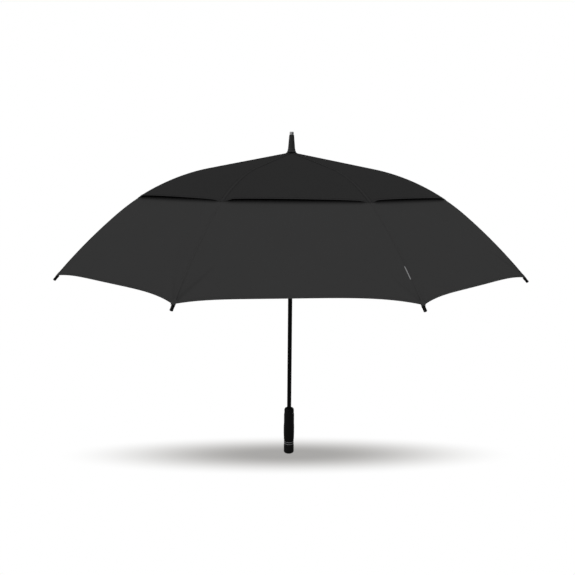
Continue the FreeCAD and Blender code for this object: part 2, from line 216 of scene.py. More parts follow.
def grid(name, columns, rows, point, uv, material, closed=False):
    """A grid mesh: point(i, j) and uv(i, j) for i up to columns and j up to rows."""
    width = columns if closed else columns + 1
    corners = [point(i, j) for j in range(rows + 1) for i in range(width)]
    faces = []
    for j in range(rows):
        here, above = j * width, (j + 1) * width
        for i in range(columns):
            beside = (i + 1) % width
            faces.append((here + i, here + beside, above + beside, above + i))
    mesh = bpy.data.meshes.new(name)
    mesh.from_pydata(corners, [], faces)
    layer = mesh.uv_layers.new(name="metres")
    spots = [uv(i + di, j + dj) for j in range(rows) for i in range(columns)
             for di, dj in ((0, 0), (1, 0), (1, 1), (0, 1))]
    layer.data.foreach_set("uv", [x for spot in spots for x in spot])
    return new_object(name, mesh, material)


def lathe(name, outline, material, segments=96, wave=None):
    """A piece turned about Z from (radius, height) points; wave(angle, height) may add to the radius."""
    lengths = [0.0]
    for (r0, z0), (r1, z1) in zip(outline, outline[1:]):
        lengths.append(lengths[-1] + math.hypot(r1 - r0, z1 - z0))
    widest = max(r for r, z in outline)

    def point(i, j):
        angle = math.tau * i / segments
        r, z = outline[j]
        if wave:
            r += wave(angle, z)
        return Vector((r * math.cos(angle), r * math.sin(angle), z))

    def uv(i, j):
        return (i / segments * math.tau * widest, lengths[j])

    return grid(name, segments, len(outline) - 1, point, uv, material, closed=True)


def rounded(corners, radius, steps=5):
    """An outline with each inner corner turned into a small round."""
    result = [corners[0]]
    for before, corner, after in zip(corners, corners[1:], corners[2:]):
        here = Vector(corner)
        back = Vector(before) - here
        forth = Vector(after) - here
        cut = min(radius, back.length * 0.45, forth.length * 0.45)
        start = here + back.normalized() * cut
        end = here + forth.normalized() * cut
        for n in range(steps + 1):
            t = n / steps
            spot = (1 - t) ** 2 * start + 2 * t * (1 - t) * here + t ** 2 * end
            result.append((spot.x, spot.y))
    result.append(corners[-1])
    return result


def tube_along(name, points, radius, material, sides=14):
    """A round rod through points that lie in one radial plane."""
    count = len(points) - 1
    plane_normal = Vector((0, 0, 1)).cross(points[-1] - points[0]).normalized()
    directions = [(points[min(j + 1, count)] - points[max(j - 1, 0)]).normalized()
                  for j in range(count + 1)]

    def point(i, j):
        angle = math.tau * i / sides
        up = plane_normal.cross(directions[j])
        return points[j] + radius * (math.cos(angle) * up + math.sin(angle) * plane_normal)

    def uv(i, j):
        return (i / sides * math.tau * radius, j / count)

    return grid(name, sides, count, point, uv, material, closed=True)


def join(name, pieces):
    """One object from several, with their own materials kept."""
    bpy.ops.object.select_all(action="DESELECT")
    for piece in pieces:
        piece.select_set(True)
    bpy.context.view_layer.objects.active = pieces[0]
    bpy.ops.object.join()
    pieces[0].name = name
    return pieces[0]


# ---- Materials ----

class Graph:
    """A material's or world's node tree, with short ways to add and link nodes."""

    def __init__(self, owner):
        owner.use_nodes = True
        self.nodes = owner.node_tree.nodes
        self.links = owner.node_tree.links

    def add(self, kind, **settings):
        node = self.nodes.new(kind)
        for name, value in settings.items():
            setattr(node, name, value)
        return node

    def join(self, source, target):
        self.links.new(source, target)

    def math(self, operation, first, second=None):
        node = self.add("ShaderNodeMath", operation=operation)
        for socket, value in zip(node.inputs, (first, second)):
            if value is None:
                continue
            if isinstance(value, (int, float)):
                socket.default_value = value
            else:
                self.join(value, socket)
        return node.outputs[0]

    def blend(self, share, first, second):
        """A colour between two, by a share that a socket gives."""
        node = self.add("ShaderNodeMix", data_type="RGBA")
        self.join(share, node.inputs["Factor"])
        node.inputs[6].default_value = (*first, 1)
        node.inputs[7].default_value = (*second, 1)
        return node.outputs[2]

    def around_level(self, share, level, spread):
        """A share from 0 to 1 carried over to a spread about a level."""
        return self.math("ADD", self.math("MULTIPLY", share, spread), level - spread / 2)

    def ramp(self, value, start, end, low=0.0, high=1.0, smooth=True):
        """A value carried from start..end over to low..high."""
        kind = "SMOOTHSTEP" if smooth else "LINEAR"
        node = self.add("ShaderNodeMapRange", interpolation_type=kind)
        self.join(value, node.inputs["Value"])
        for socket, number in (("From Min", start), ("From Max", end), ("To Min", low), ("To Max", high)):
            node.inputs[socket].default_value = number
        return node.outputs[0]

    def pick(self, share, first, second):
        """One of two shaders, by a share that a socket gives."""
        node = self.add("ShaderNodeMixShader")
        for socket, source in zip(node.inputs, (share, first, second)):
            self.join(source, socket)
        return node.outputs[0]

    def noise(self, scale, detail=2.0, vector=None, roughness=0.5):
        node = self.add("ShaderNodeTexNoise")
        node.inputs["Scale"].default_value = scale
        node.inputs["Detail"].default_value = detail
        node.inputs["Roughness"].default_value = roughness
        if vector:
            self.join(vector, node.inputs["Vector"])
        return node.outputs["Fac"]

    def bump(self, height, strength, distance, onto=None):
        node = self.add("ShaderNodeBump")
        node.inputs["Strength"].default_value = strength
        node.inputs["Distance"].default_value = distance
        self.join(height, node.inputs["Height"])
        if onto:
            self.join(onto, node.inputs["Normal"])
        return node.outputs["Normal"]


# How far a cloth's tone may rise over its own colour
PALEST = 1.25
# The noises in the cloth, per metre, and the streaks' share in its mottling; slow clouds have the rest
STREAK_SCALE = 900
CLOUD_SCALE = 9
PUCKER_SCALE = 14
STREAK_SHARE = 0.65
# Wear on mouldings and brushing on metal: how much of the roughness they change, and the paler and
# darker tones of the colour
WEAR_ROUGHNESS = 0.16
WEAR_TONES = (0.8, 1.25)
BRUSH_ROUGHNESS = 0.2
BRUSH_TONES = (0.85, 1.15)
# The angle from which an edge of a turned bar or tube shows sharp
SHARP_ANGLE = math.radians(40)


def surface(name, roughness, specular=0.5, metallic=0.0):
    """A new material with its node graph and its shader."""
    material = bpy.data.materials.new(name)
    graph = Graph(material)
    shader = graph.nodes["Principled BSDF"]
    shader.inputs["Roughness"].default_value = roughness
    shader.inputs["Specular IOR Level"].default_value = specular
    shader.inputs["Metallic"].default_value = metallic
    return material, graph, shader


def shade(colour, factor):
    return tuple(c * factor for c in colour)


def grey(level):
    return (level, level, level)


def woven(name, colour, thread=0.0007, mottle=0.24):
    """Matt woven cloth: crossing threads, faint streaks along them and a slow change of tone.
    Where its mesh holds "light" values, they paint light and shade into its colour: shade along folds and the
    flap's contact shadow."""
    material, graph, shader = surface(name, 0.8, 0.0)
    spot = graph.add("ShaderNodeUVMap", uv_map="metres").outputs[0]
    parts = graph.add("ShaderNodeSeparateXYZ")
    graph.join(spot, parts.inputs[0])
    turns = math.tau / thread
    warp = graph.math("SINE", graph.math("MULTIPLY", parts.outputs[0], turns))
    weft = graph.math("SINE", graph.math("MULTIPLY", parts.outputs[1], turns))
    weave = graph.math("MULTIPLY", warp, weft)
    stretch = graph.add("ShaderNodeMapping")
    stretch.inputs["Scale"].default_value = (1.0, 0.06, 1.0)
    graph.join(spot, stretch.inputs["Vector"])
    streaks = graph.math("MULTIPLY", graph.noise(STREAK_SCALE, 2, stretch.outputs[0]), STREAK_SHARE)
    clouds = graph.math("MULTIPLY", graph.noise(CLOUD_SCALE, 3, spot), 1 - STREAK_SHARE)
    tone = graph.math("ADD", streaks, clouds)
    tone = graph.around_level(tone, 1.0, mottle)
    # Painted light and shade: the mesh's "light" values scale the colour
    light = graph.math("ADD", graph.add("ShaderNodeAttribute", attribute_name="light").outputs["Fac"], 1.0)
    tone = graph.math("DIVIDE", graph.math("MULTIPLY", tone, light), PALEST)
    graph.join(graph.blend(tone, (0, 0, 0), shade(colour, PALEST)), shader.inputs["Base Color"])
    puckers = graph.bump(graph.noise(PUCKER_SCALE, 4, spot, 0.6), 0.1, 0.002)
    graph.join(graph.bump(weave, 0.25, 0.0001, puckers), shader.inputs["Normal"])
    return material


def moulded(name, colour, roughness=0.5, specular=0.2, grain=2500, depth=0.00006):
    """Moulded plastic or rubber with a fine grain and slightly worn, paler patches."""
    material, graph, shader = surface(name, roughness, specular)
    place = graph.add("ShaderNodeTexCoord").outputs["Object"]
    wear = graph.noise(60, 4, place)
    tones = [shade(colour, factor) for factor in WEAR_TONES]
    graph.join(graph.blend(wear, *tones), shader.inputs["Base Color"])
    graph.join(graph.around_level(wear, roughness, WEAR_ROUGHNESS), shader.inputs["Roughness"])
    graph.join(graph.bump(graph.noise(grain, 2, place), 0.35, depth), shader.inputs["Normal"])
    return material


def metal(name, colour, roughness=0.25, brushing=700):
    """Metal with fine brushed lines round the axis and a faint change of tone."""
    material, graph, shader = surface(name, roughness, 0.5, 1.0)
    place = graph.add("ShaderNodeTexCoord").outputs["Object"]
    lines = graph.add("ShaderNodeMapping")
    lines.inputs["Scale"].default_value = (0.02, 0.02, 1.0)
    graph.join(place, lines.inputs["Vector"])
    brushed = graph.noise(brushing * 4, 3, lines.outputs[0])
    tones = [shade(colour, factor) for factor in BRUSH_TONES]
    graph.join(graph.blend(brushed, *tones), shader.inputs["Base Color"])
    graph.join(graph.around_level(brushed, roughness, BRUSH_ROUGHNESS), shader.inputs["Roughness"])
    graph.join(graph.bump(brushed, 0.1, 0.0001), shader.inputs["Normal"])
    return material


def glass_fibre(name, colour):
    """Pultruded rod: smooth, glossy, with fine fibres along it."""
    material, graph, shader = surface(name, 0.32, 0.3)
    spot = graph.add("ShaderNodeUVMap", uv_map="metres").outputs[0]
    fibres = graph.add("ShaderNodeMapping")
    fibres.inputs["Scale"].default_value = (1500.0, 3.0, 1.0)
    graph.join(spot, fibres.inputs["Vector"])
    threads = graph.noise(1.0, 2, fibres.outputs[0])
    graph.join(graph.blend(threads, shade(colour, 0.7), shade(colour, 1.4)), shader.inputs["Base Color"])
    graph.join(graph.bump(threads, 0.15, 0.00005), shader.inputs["Normal"])
    return material


upper_cloth = woven("upper_cloth", (0.0262, 0.0262, 0.0263))
lower_cloth = woven("lower_cloth", (0.0390, 0.0390, 0.0391), mottle=0.1)
# The vent band is the cloth under the flaps; its near-black colour is painted shade for the dark gap under
# each flap's edge
vent_band_painted_shade = woven("vent_band_painted_shade", (0.004, 0.004, 0.0042), thread=0.0012)
seam_cloth = woven("seam_cloth", (0.0290, 0.0290, 0.0291), thread=0.0006)
thread_black = moulded("black_thread", grey(0.004), 0.7, 0.1)
thread_grey = moulded("grey_thread", grey(0.033), 0.7, 0.05)
rubber = moulded("grip_rubber", grey(0.0016), 0.6, 0.11, grain=1800, depth=0.0001)
knurl_plastic = moulded("knurled_plastic", grey(0.0036), 0.5, 0.14)
black_plastic = moulded("black_plastic", grey(0.008), 0.42, 0.25)
ferrule_plastic = moulded("ferrule_plastic", grey(0.0185), 0.45, 0.12)
rosette_plastic = moulded("rosette_plastic", grey(0.001), 0.6, 0.04)
print_grey = moulded("print_grey", (0.2, 0.2, 0.205), 0.75, 0.1)
tip_plastic = moulded("tip_plastic", grey(0.0008), 0.45, 0.06)
shaft_coat = moulded("shaft_coating", grey(0.0012), 0.4, 0.06, grain=900, depth=0.00002)
ring_metal = metal("ring_metal", (0.20, 0.20, 0.203), 0.34)
cap_metal = metal("cap_metal", (0.27, 0.27, 0.274), 0.42)
spring_steel = metal("spring_steel", (0.35, 0.35, 0.36), 0.35)
rib_fibre = glass_fibre("rib_fibre", (0.010, 0.010, 0.011))
stretcher_coat = moulded("stretcher_coating", grey(0.010), 0.35, 0.3, grain=900, depth=0.00003)


# ---- Canopy panels ----

def rise(share, lift):
    """A smooth change from 0 at share 0 to lift at share 1."""
    share = min(max(share, 0.0), 1.0)
    return lift * share * share * (3 - 2 * share)


def hem_end(k):
    """The skirt's length along the rib line: its hem arches up between the rib tips, and leans a little
    on the front panel and on the panels beside it."""
    turned = panel_azimuth(k) - panel_azimuth(FRONT_PANEL)
    front = max(math.cos(turned), 0.0) ** 4
    aside = math.sin(turned)

    def end(across):
        bow = 1 - across ** 2
        lean = math.sin(math.pi * across)
        arch = HEM_RISE * (1 - abs(across) ** HEM_SHARPNESS)
        drop = aside ** 2 * HEM_SIDE_DROP + aside * HEM_RIGHT_DROP
        raised = front * (HEM_LIFT * bow + HEM_LEAN * lean)
        return RIB_LENGTH - arch - raised + drop * bow + aside * HEM_SIDE_LEAN * lean

    return end


def crease(inward, upward, angle, length, width):
    """A pulled crease from a corner, at an angle from the rib: 1 on its line, 0 well beside it."""
    run = inward * math.sin(angle) + upward * math.cos(angle)
    off = inward * math.cos(angle) - upward * math.sin(angle)
    if run <= 0:
        return 0.0
    return rise(run / (0.2 * length), 1.0) * math.exp(-(run / length) ** 4 - (off / width) ** 2)


def folds(k, along, across):
    """Creases that fan out from a skirt panel's two lower corners, one deeper than the others."""
    inward = (1 - abs(across)) * half_width(along)
    upward = RIB_LENGTH - along
    if math.hypot(inward, upward) > 2 * CREASE_LENGTH:
        return 0.0
    corner = CREASE_CORNER_TURN if across > 0 else 0.0
    pull = 0.5 + 0.5 * math.cos(CREASE_PANEL_TURN * (FRONT_PANEL - k) + corner)
    total = 0.0
    for n, share in enumerate(CREASE_SHARES):
        angle = CREASE_ANGLE * (1 - CREASE_FAN * n) + CREASE_WOBBLE * math.sin(k + 2 * n)
        length = CREASE_LENGTH * (CREASE_LEAST_LENGTH + (1 - CREASE_LEAST_LENGTH) * pull)
        length *= 1 - CREASE_SHORTER * n
        total += share * crease(inward, upward, angle, length, CREASE_WIDTH * (1 + CREASE_WIDER * n))
    return -(CREASE_LEAST_DEPTH + (1 - CREASE_LEAST_DEPTH) * pull) * total


def vent_shadow(along, across):
    """The flap's soft contact shadow on the top of the skirt, gone where the flap is sewn down."""
    open_share = rise((1 - abs(across)) / FLAP_CLOSING, 1.0)
    return -SHADOW_DEPTH * open_share * (1 - rise((along - SKIRT_STATION) / SHADOW_LENGTH, 1.0))


# The skirt's painted light: painted shade along its creases and the flap's painted contact shadow
def skirt_light(k, along, across):
    return CREASE_PAINTED_SHADE * folds(k, along, across) + vent_shadow(along, across)


def skirt_shape(k):
    """The skirt sags a little between the ribs and has small folds at its corners."""

    def lift(along, across):
        middle = 1 - abs(across) ** 2
        down = (along - VENT_STATION) / (RIB_LENGTH - VENT_STATION)
        dip = -VENT_DIP * (1 - down) ** 2 - SKIRT_SAG * 4 * down * (1 - down)
        return middle * dip + CREASE_HEIGHT * folds(k, along, across)

    return lift


def top_lift(along, across, skew=0.0):
    """The top panel sags a little between ribs and bows up to its free edge, more to one side."""
    middle = 1 - abs(across) ** 2
    broad = rise((1 - abs(across) - SEWN_SHARE) / FLAP_CLOSING, 1.0) * (1 - FLAP_NARROWING * abs(across))
    share = (along - FLAP_START) / (VENT_STATION - FLAP_START)
    sag = -TOP_SAG * math.sin(math.pi * min(along / BAND_STATION, 1.0))
    return middle * sag + broad * (1 + skew * across) * rise(share, FLAP_BOW) + TOP_CLOTH_LIFT


def flap_shape(k):
    """Each panel's flap stands open a little differently, as the cloth was sewn."""
    skew = -FLAP_SKEW * math.cos(FLAP_SKEW_TURN * (k - FLAP_SKEW_PANEL))
    return lambda along, across: top_lift(along, across, skew)


def flap_end(across):
    """The top's length along the rib line: its free edge is cut in a shallow arch between the ribs."""
    return VENT_STATION - FLAP_CUT * (1 - abs(across) ** FLAP_CUT_SHARPNESS)


def band_lift(along, across):
    """The vent's band lies a little under the fabric's line."""
    middle = 1 - abs(across) ** 2
    return -middle * VENT_DIP - BAND_DEPTH


def set_light(piece, values):
    piece.data.attributes.new("light", "FLOAT", "POINT").data.foreach_set("value", values)


def panel_sheet(name, k, start, end, lift, material, columns, rows, light=None):
    """One panel's cloth between a start station and end(across), from seam to seam."""
    azimuth = panel_azimuth(k)

    def place(i, j):
        across = 2 * i / columns - 1
        return start + (end(across) - start) * j / rows, across

    def point(i, j):
        along, across = place(i, j)
        return panel_point(azimuth, along, across, lift(along, across))

    def uv(i, j):
        along, across = place(i, j)
        return (across * half_width(along), along)

    piece = grid(name, columns, rows, point, uv, material)
    if light:
        set_light(piece, [light(k, *place(i, j)) for j in range(rows + 1) for i in range(columns + 1)])
    return piece


def declare_cloth(end):
    """A panel's flat width at a length along the rib line is worked out here and not used."""
    width = 2 * half_width(end)


def gather(piece, body):
    """The cloth rides on its panel's body, with a mesh of its own."""
    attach(piece, body)
    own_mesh(piece)


# A ribbon's cross section, in shares of its half width and of its height
RIBBON_SECTION = [(-1.0, 0.0), (-0.75, 0.75), (-0.35, 0.95), (0.0, 1.0), (0.35, 0.95), (0.75, 0.75),
                  (1.0, 0.0)]

STITCH_PITCH = 0.0034
STITCH_LENGTH = 0.0022
# A stitch's rings along it, with how far each stands up, and a ring's corners
STITCH_RINGS = ((-1.0, 0.4), (-0.5, 1.0), (0.5, 1.0), (1.0, 0.4))
STITCH_SECTION = ((-1, 0), (-0.5, 1), (0.5, 1), (1, 0))


def ribbon(name, path, half_width, lift, material, steps):
    """A narrow strip with a raised middle; path(t, sideways, height) places its points."""

    def point(i, j):
        side, height = RIBBON_SECTION[i]
        return path(j / steps, side * half_width, height * lift)

    length = (path(1, 0, 0) - path(0, 0, 0)).length

    def uv(i, j):
        return (RIBBON_SECTION[i][0] * half_width, length * j / steps)

    return grid(name, len(RIBBON_SECTION) - 1, steps, point, uv, material)


def stitches(name, path, length, sideways, height, material, thick):
    """A row of sewn stitches along a path; each is a short thread, sunk at its ends."""
    reach = STITCH_LENGTH / 2 / length
    corners = []
    faces = []
    for n in range(int(length / STITCH_PITCH)):
        middle = (n + 0.5) * STITCH_PITCH / length
        base = len(corners)
        for ahead, up in STITCH_RINGS:
            for side, high in STITCH_SECTION:
                corners.append(path(middle + ahead * reach, sideways + side * thick,
                                    height + high * thick * up))
        for ring in range(3):
            for side in range(3):
                first = base + 4 * ring + side
                faces.append((first, first + 1, first + 5, first + 4))
    mesh = bpy.data.meshes.new(name)
    mesh.from_pydata(corners, [], faces)
    mesh.uv_layers.new(name="metres")
    return new_object(name, mesh, material)


# A hem's share of its panel's width: it stops just short of the seams
HEM_REACH = 0.998


def edge_path(k, end, shape, inset):
    """Along a panel's lower edge, an inset up from it."""
    azimuth = panel_azimuth(k)

    def path(t, sideways, height):
        across = 2 * t - 1
        along = end(across) - inset + sideways
        return panel_point(azimuth, along, across * HEM_REACH, shape(along, across) + height)

    return path


def beside_seam_path(k, start, end, distance, lift):
    """Along the skirt panel, a distance before its seam with the next panel."""
    azimuth = panel_azimuth(k)
    shape = skirt_shape(k)

    def path(t, sideways, height):
        along = start + (end - start) * t
        across = 1 - (distance - sideways) / half_width(along)
        return panel_point(azimuth, along, across, shape(along, across) + lift + height)

    return path


def seam_path(k, start, end, lift=0.0):
    """Along the fabric over a rib, a lift above the rib line."""
    azimuth = rib_azimuth(k)

    def path(t, sideways, height):
        return over_rib(azimuth, start + (end - start) * t, sideways, lift + height)

    return path


HEM_WIDTH = 0.008
FLAP_HEM_WIDTH = 0.006
HEM_HEIGHT = 0.0005
HEM_STITCH_HEIGHT = 0.0006
HEM_STITCH_PLACE = 0.8
HEM_THREAD = 0.00028
# The top panels start under the rosette's edge, clear of the crown when the umbrella closes
EYELET = 0.0165
BAND_END = SKIRT_STATION + 0.0005

# A plain printed bar stands where the photo has a small mark
BAR_START = 0.694
BAR_END = 0.729
BAR_WIDTH = 0.0024
BAR_TO_SEAM = 0.0046
BAR_LIFT = 0.0003
BAR_HEIGHT = 0.0001


def printed_bar(k):
    path = beside_seam_path(k, BAR_START, BAR_END, BAR_TO_SEAM, BAR_LIFT)
    return ribbon("printed_bar", path, BAR_WIDTH / 2, BAR_HEIGHT, print_grey, 16)


def sewn_hem(name, k, end, shape, width, cloth, thread, steps):
    """A turned hem along a panel's lower edge, with one row of stitches."""
    middle = edge_path(k, end, shape, width / 2)
    row = edge_path(k, end, shape, width * HEM_STITCH_PLACE)
    length = 2 * half_width(end(1))
    return join(f"{name}_{k}", [
        ribbon(f"{name}_strip_{k}", middle, width / 2, HEM_HEIGHT, cloth, steps),
        stitches(f"{name}_stitches_{k}", row, length, 0, HEM_STITCH_HEIGHT, thread, HEM_THREAD)])


# Each sheet's mesh: how many columns across and rows down
TOP_GRID = (56, 64)
BAND_GRID = (40, 14)
SKIRT_GRID = (160, 100)
HEM_STEPS = 120
FLAP_HEM_STEPS = 56

for k in range(1, PANELS + 1):
    flap_lift = flap_shape(k)
    skirt_lift = skirt_shape(k)
    skirt_end = hem_end(k)
    top = panel_sheet(f"upper_canopy_panel_{k}", k, EYELET, flap_end, flap_lift, upper_cloth, *TOP_GRID)
    band = panel_sheet(f"vent_band_{k}", k, BAND_STATION, lambda across: BAND_END, band_lift, vent_band_painted_shade,
                       *BAND_GRID)
    skirt = panel_sheet(f"lower_canopy_panel_{k}", k, SKIRT_STATION, skirt_end, skirt_lift, lower_cloth,
                        *SKIRT_GRID, light=skirt_light)
    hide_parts(f"canopy_top_{k}")
    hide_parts(f"canopy_skirt_{k}")
    hem = sewn_hem("hem", k, skirt_end, skirt_lift, HEM_WIDTH, lower_cloth, thread_grey, HEM_STEPS)
    flap_hem = sewn_hem("flap_hem", k, flap_end, flap_lift, FLAP_HEM_WIDTH, upper_cloth, thread_black,
                        FLAP_HEM_STEPS)
    declare_cloth(VENT_STATION)
    declare_cloth(BAND_END)
    on_skirt = [hem, printed_bar(k)] if k == FRONT_PANEL else [hem]
    declare_cloth(RIB_LENGTH)
    for piece in (top, band, flap_hem):
        gather(piece, f"canopy_top_{k}")
    for piece in (skirt, *on_skirt):
        gather(piece, f"canopy_skirt_{k}")


# ---- Seams, ribs and tips ----

BEND_LENGTH = 0.11
ROD_START = 0.021
ROD_END = RIB_LENGTH + 0.006
TOP_SEAM_START = 0.017
TOP_SEAM_END = VENT_STATION + 0.001
TOP_SEAM_WIDTH = 0.0108
TOP_SEAM_HEIGHT = 0.0004
TOP_THREAD = 0.0005
SKIRT_SEAM_START = VENT_STATION - 0.002
SKIRT_SEAM_WIDTH = 0.006
SKIRT_SEAM_HEIGHT = 0.00015
SKIRT_THREAD = 0.0002
# The seams' mesh step, and where their two rows of stitches run, in shares of width and height
SEAM_STEP = 0.006
SEAM_ROW_PLACE = 0.43
SEAM_ROW_HEIGHT = 1.1


def rib_point(k, along):
    """A point of a rib's middle line, which runs a little under the fabric."""
    r, z = station(along, RIB_DEPTH)[:2]
    return around(rib_azimuth(k), r, 0, z)


def down_rib(k, slope):
    """The direction outwards and down a rib's slope."""
    return around(rib_azimuth(k), math.cos(slope), 0, -math.sin(slope))


def bend_with_rib(piece, k):
    """The piece's transform is baked into its mesh; points along the rib past its joint are found but not
    used.
    """
    points = [rib_point(k, along) for along in (JOINT_STATION, JOINT_STATION + BEND_LENGTH)]
    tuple(points[0])
    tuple(points[1])
    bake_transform(piece)


def seam(name, k, start, end, lift, width, height, material, thread, thick):
    """A flat-felled seam over a rib: a strip of cloth with a row of stitches along each edge."""
    path = seam_path(k, start, end, lift)
    pieces = [ribbon(name, path, width / 2, height, material, int((end - start) / SEAM_STEP))]
    for side in (-1, 1):
        place = side * width * SEAM_ROW_PLACE
        pieces.append(stitches(f"{name}_{side}", path, end - start, place, height * SEAM_ROW_HEIGHT, thread,
                               thick))
    return join(name, pieces)


def block(name, size, centre, turn, material, bevel=0.0003):
    """A small bevelled block with a given centre and turn."""
    work = bmesh.new()
    bmesh.ops.create_cube(work, size=1.0, matrix=Matrix.Diagonal((*size, 1)))
    bmesh.ops.bevel(work, geom=work.edges[:], offset=bevel, segments=2, affect="EDGES")
    mesh = bpy.data.meshes.new(name)
    work.to_mesh(mesh)
    work.free()
    mesh.transform(Matrix.Translation(centre) @ turn)
    mesh.uv_layers.new(name="metres")
    return new_object(name, mesh, material, smooth=False)


def rod_between(name, start, end, radius, material, sides=24):
    """A short round bar with flat ends."""
    work = bmesh.new()
    bmesh.ops.create_cone(work, cap_ends=True, segments=sides, radius1=radius, radius2=radius,
                          depth=(end - start).length)
    mesh = bpy.data.meshes.new(name)
    work.to_mesh(mesh)
    work.free()
    turn = (end - start).to_track_quat("Z", "Y").to_matrix().to_4x4()
    mesh.transform(Matrix.Translation((start + end) / 2) @ turn)
    mesh.uv_layers.new(name="metres")
    piece = new_object(name, mesh, material)
    piece.data.set_sharp_from_angle(angle=SHARP_ANGLE)
    return piece


# The fittings' sizes; a block's are its length along the rib, its width and its height
EYE_WIDTH = 0.0016
EYE_BLOCK = (0.0105, EYE_WIDTH, 0.004)
EYE_MIDDLE = 0.0053
EYE_RADIUS = 0.0022
COLLAR_START = 0.0105
COLLAR_END = 0.0225
COLLAR_RADIUS = 0.0025
CLIP_START = 0.0195
CLIP_END = 0.0035
CLIP_RADIUS = 0.0027
PIN_REACH = 0.0022
PIN_RADIUS = 0.001
CHEEK_BLOCK = (0.0135, 0.0008, 0.0058)
CHEEK_SPREAD = 0.0015
CHEEK_BACK = 0.0045
CHEEK_RISE = 0.0008
CHEEK_BEVEL = 0.0002


def rib_fittings(k):
    """The eye at the crown, and the clip, cheeks and pin at the stretcher joint."""
    side = around(rib_azimuth(k), 0, 1, 0)
    crown = Vector(joints["fold" if k == 1 else f"rib_fold_{k}"]["pos_m"])
    pivot = Vector(joints[f"stretcher_pivot_{k}"]["pos_m"])
    flex = rib_point(k, JOINT_STATION)
    outward = down_rib(k, station(JOINT_STATION)[2])
    above = outward.cross(side)
    first_slope = down_rib(k, STRAIGHT_SLOPE)
    turn = Matrix((outward, side, above)).transposed().to_4x4()
    crown_turn = Matrix((first_slope, side, first_slope.cross(side))).transposed().to_4x4()
    eye_middle = crown + first_slope * EYE_MIDDLE
    eye_reach = side * EYE_WIDTH / 2
    parts = [
        block(f"eye_{k}", EYE_BLOCK, eye_middle, crown_turn, black_plastic),
        rod_between(f"eye_disc_{k}", crown - eye_reach, crown + eye_reach, EYE_RADIUS, black_plastic),
        rod_between(f"collar_{k}", crown + first_slope * COLLAR_START, crown + first_slope * COLLAR_END,
                    COLLAR_RADIUS, black_plastic),
        rod_between(f"clip_{k}", flex - outward * CLIP_START, flex - outward * CLIP_END, CLIP_RADIUS,
                    black_plastic),
        rod_between(f"pin_{k}", pivot - side * PIN_REACH, pivot + side * PIN_REACH, PIN_RADIUS, spring_steel)]
    for way in (-1, 1):
        middle = pivot - outward * CHEEK_BACK + side * way * CHEEK_SPREAD + above * CHEEK_RISE
        parts.append(block(f"cheek_{k}_{way}", CHEEK_BLOCK, middle, turn, black_plastic, CHEEK_BEVEL))
    return join(f"rib_fittings_{k}", parts)


ROD_STEPS = 130

for k in range(1, PANELS + 1):
    spine = [rib_point(k, ROD_START + (ROD_END - ROD_START) * n / ROD_STEPS) for n in range(ROD_STEPS + 1)]
    rod = tube_along(f"rib_rod_{k}", spine, ROD_RADIUS, rib_fibre)
    fittings = rib_fittings(k)
    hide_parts(f"rib_inner_{k}", f"rib_outer_{k}")
    bend_with_rib(rod, k)
    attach(fittings, f"rib_inner_{k}")
    upper_seam = seam(f"upper_seam_{k}", k, TOP_SEAM_START, TOP_SEAM_END, TOP_CLOTH_LIFT,
                      TOP_SEAM_WIDTH, TOP_SEAM_HEIGHT, seam_cloth, thread_black, TOP_THREAD)
    bend_with_rib(upper_seam, k)
    lower_seam = seam(f"lower_seam_{k}", k, SKIRT_SEAM_START, RIB_LENGTH, 0.0,
                      SKIRT_SEAM_WIDTH, SKIRT_SEAM_HEIGHT, lower_cloth, thread_grey, SKIRT_THREAD)
    bend_with_rib(lower_seam, k)


# A tip's side: radius, and length from the hem's corner outwards along the rib
TIP_SIDE = [(0.0021, -0.0040), (0.0038, -0.0040), (0.0041, 0.0030), (0.0037, 0.0040), (0.0037, 0.0096),
            (0.0039, 0.0112), (0.0038, 0.0132), (0.0, 0.0144)]
TIP_ROUND = 0.0007
# The patch that covers the hem's corner over the tip
PATCH_START = RIB_LENGTH - 0.012
PATCH_END = RIB_LENGTH + 0.0005
PATCH_HALF_WIDTH = 0.0062
PATCH_HEIGHT = 0.0006


def tip_piece(k):
    """A moulded tip over the end of a rib, with a collar where the fabric is sewn to it."""
    piece = lathe(f"tip_{k}", rounded(TIP_SIDE, TIP_ROUND), tip_plastic, 32)
    direction = down_rib(k, station(RIB_LENGTH)[2])
    turn = direction.to_track_quat("Z", "Y").to_matrix().to_4x4()
    piece.data.transform(Matrix.Translation(rib_point(k, RIB_LENGTH)) @ turn)
    return piece


for k in range(1, PANELS + 1):
    tip = tip_piece(k)
    corner = ribbon(f"corner_patch_{k}", seam_path(k, PATCH_START, PATCH_END), PATCH_HALF_WIDTH, PATCH_HEIGHT,
                    lower_cloth, 6)
    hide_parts(f"rib_tip_{k}")
    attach(tip, f"rib_outer_{k}")
    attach(corner, f"rib_outer_{k}")


# ---- Handle ----

# The outlines below are pairs of radius and height in the shared frame

SWELL_MIDDLE = 0.080
SWELL_REACH = 0.017
SWELL_DEPTH = 0.0004
GRIP_ROUND = 0.0010
NECK_START = 0.0290
# The grooves at the throat, and one groove's side as radius and height above its start
GROOVES = 3
GROOVE_START = 0.1395
GROOVE_PITCH = 0.0036
THROAT_RADIUS = 0.0158
GROOVE_RADIUS = 0.0153
GROOVE_SHAPE = [(THROAT_RADIUS, 0.0), (GROOVE_RADIUS, 0.0008), (GROOVE_RADIUS, 0.0013),
                (THROAT_RADIUS, 0.0021)]


def swell(angle, height):
    """The grip's palm swell, on the left side as the umbrella is seen."""
    palm = math.exp(-((height - SWELL_MIDDLE) / SWELL_REACH) ** 4)
    facing = max(0.0, -math.cos(angle)) ** 2
    return SWELL_DEPTH * palm * facing


